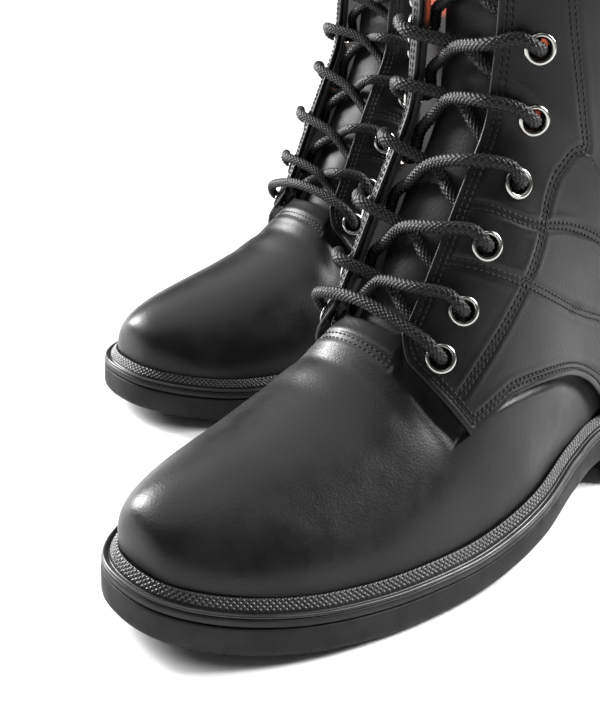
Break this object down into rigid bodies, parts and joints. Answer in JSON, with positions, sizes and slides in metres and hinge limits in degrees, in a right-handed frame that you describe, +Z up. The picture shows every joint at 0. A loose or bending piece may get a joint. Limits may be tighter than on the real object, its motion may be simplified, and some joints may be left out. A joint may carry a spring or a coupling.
{
  "type": "pair of fire boots",
  "caption": "Pair of black leather lace-up safety boots with open facings, metal eyelets, storm welt and heeled lugged sole.",
  "frame": {"origin": "on the floor, under the middle of the bounding box of the pair", "axes": "+Z up, toes towards -Y, +X towards the outer side of the left boot"},
  "size_m": [0.258, 0.3934, 0.2369],
  "materials": {
    "black_rubber": "matt moulded rubber",
    "smooth_rubber": "satin smooth edge",
    "storm_welt": "knurled strip",
    "shank_steel": "plain steel",
    "fibre_board": "pressed fibre board",
    "footbed_foam": "cloth-covered foam",
    "stiffener": "thermoplastic stiffener",
    "black_leather": "fine grain, semi-matt polish",
    "red_lining": "suede-like lining",
    "tongue_leather": "smooth soft leather",
    "lace_cord": "round braided cord",
    "eyelet_nickel": "dark nickel plated"
  },
  "bodies": {
    "left_boot": {"outsole_left": "black_rubber", "heel_left": "black_rubber", "midsole_left": "smooth_rubber", "welt_left": "storm_welt", "shank_left": "shank_steel", "insole_board_left": "fibre_board", "footbed_left": "footbed_foam", "toe_cap_left": "stiffener", "heel_counter_left": "stiffener", "vamp_left": "black_leather", "quarter_lateral_left": "black_leather", "quarter_medial_left": "black_leather", "lining_left": "red_lining", "lace_left": "lace_cord", "eyelet_lateral_1_left": "eyelet_nickel", "eyelet_lateral_2_left": "eyelet_nickel", "eyelet_lateral_3_left": "eyelet_nickel", "eyelet_lateral_4_left": "eyelet_nickel", "eyelet_lateral_5_left": "eyelet_nickel", "eyelet_lateral_6_left": "eyelet_nickel", "eyelet_lateral_7_left": "eyelet_nickel", "eyelet_medial_1_left": "eyelet_nickel", "eyelet_medial_2_left": "eyelet_nickel", "eyelet_medial_3_left": "eyelet_nickel", "eyelet_medial_4_left": "eyelet_nickel", "eyelet_medial_5_left": "eyelet_nickel", "eyelet_medial_6_left": "eyelet_nickel", "eyelet_medial_7_left": "eyelet_nickel"},
    "left_tongue": {"tongue_left": "tongue_leather"},
    "right_boot": {"outsole_right": "black_rubber", "heel_right": "black_rubber", "midsole_right": "smooth_rubber", "welt_right": "storm_welt", "shank_right": "shank_steel", "insole_board_right": "fibre_board", "footbed_right": "footbed_foam", "toe_cap_right": "stiffener", "heel_counter_right": "stiffener", "vamp_right": "black_leather", "quarter_lateral_right": "black_leather", "quarter_medial_right": "black_leather", "lining_right": "red_lining", "lace_right": "lace_cord", "eyelet_lateral_1_right": "eyelet_nickel", "eyelet_lateral_2_right": "eyelet_nickel", "eyelet_lateral_3_right": "eyelet_nickel", "eyelet_lateral_4_right": "eyelet_nickel", "eyelet_lateral_5_right": "eyelet_nickel", "eyelet_lateral_6_right": "eyelet_nickel", "eyelet_lateral_7_right": "eyelet_nickel", "eyelet_medial_1_right": "eyelet_nickel", "eyelet_medial_2_right": "eyelet_nickel", "eyelet_medial_3_right": "eyelet_nickel", "eyelet_medial_4_right": "eyelet_nickel", "eyelet_medial_5_right": "eyelet_nickel", "eyelet_medial_6_right": "eyelet_nickel", "eyelet_medial_7_right": "eyelet_nickel"},
    "right_tongue": {"tongue_right": "tongue_leather"}
  },
  "joints": [
    {"name": "right_boot_lift", "type": "slide", "parent": "left_boot", "child": "right_boot", "axis": [0, 0, 1], "range_m": [0, 0.25]},
    {"name": "left_tongue_fold", "type": "hinge", "parent": "left_boot", "child": "left_tongue", "pos_m": [0.069, -0.09208, 0.0801], "axis": [1, 0, 0], "range_deg": [-8, 0]},
    {"name": "right_tongue_fold", "type": "hinge", "parent": "right_boot", "child": "right_tongue", "pos_m": [-0.06917, 0.00177, 0.0801], "axis": [0.999, -0.0436, 0], "range_deg": [-8, 0]}
  ]
}
